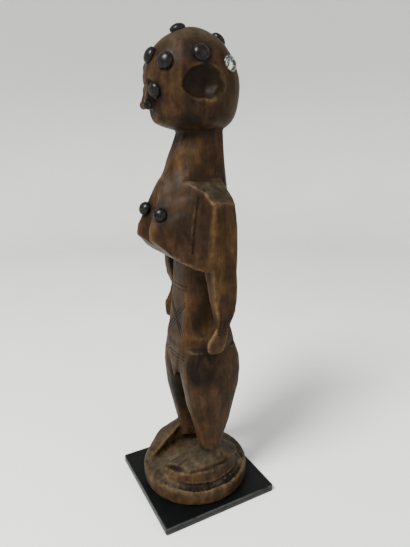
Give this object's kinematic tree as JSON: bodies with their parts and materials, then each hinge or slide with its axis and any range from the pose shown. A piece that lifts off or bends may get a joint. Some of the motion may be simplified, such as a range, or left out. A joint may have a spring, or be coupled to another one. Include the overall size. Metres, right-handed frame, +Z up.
{
  "type": "carved wooden female figure",
  "caption": "Standing female figure carved in one piece with a round foot, set with domed tacks at head, eyes and breasts, on a thin square black plate.",
  "frame": {"origin": "under the middle of the square plate, on the surface it stands on", "axes": "+Z up along the figure, -Y the way she faces, +X towards her left arm"},
  "size_m": [0.1, 0.1, 0.368],
  "materials": {
    "carved_wood": "old hand-rubbed patina, satin",
    "dark_iron": "blackened domed tack heads, satin",
    "bare_metal": "worn bright and dented",
    "black_plate": "black paint, satin, greyer edges"
  },
  "bodies": {
    "root": {"carved_figure": "carved_wood", "display_plate": "black_plate", "tack_forehead": "dark_iron", "tack_temple_left": "dark_iron", "tack_temple_right": "dark_iron", "tack_above_ear_left": "dark_iron", "tack_above_ear_right": "dark_iron", "tack_crown_front": "dark_iron", "tack_crown_back": "dark_iron", "tack_back_worn": "bare_metal", "tack_eye_left": "dark_iron", "tack_eye_right": "dark_iron", "tack_nipple_left": "dark_iron", "tack_nipple_right": "dark_iron", "nail_nostril_left": "dark_iron", "nail_nostril_right": "dark_iron"}
  },
  "joints": []
}
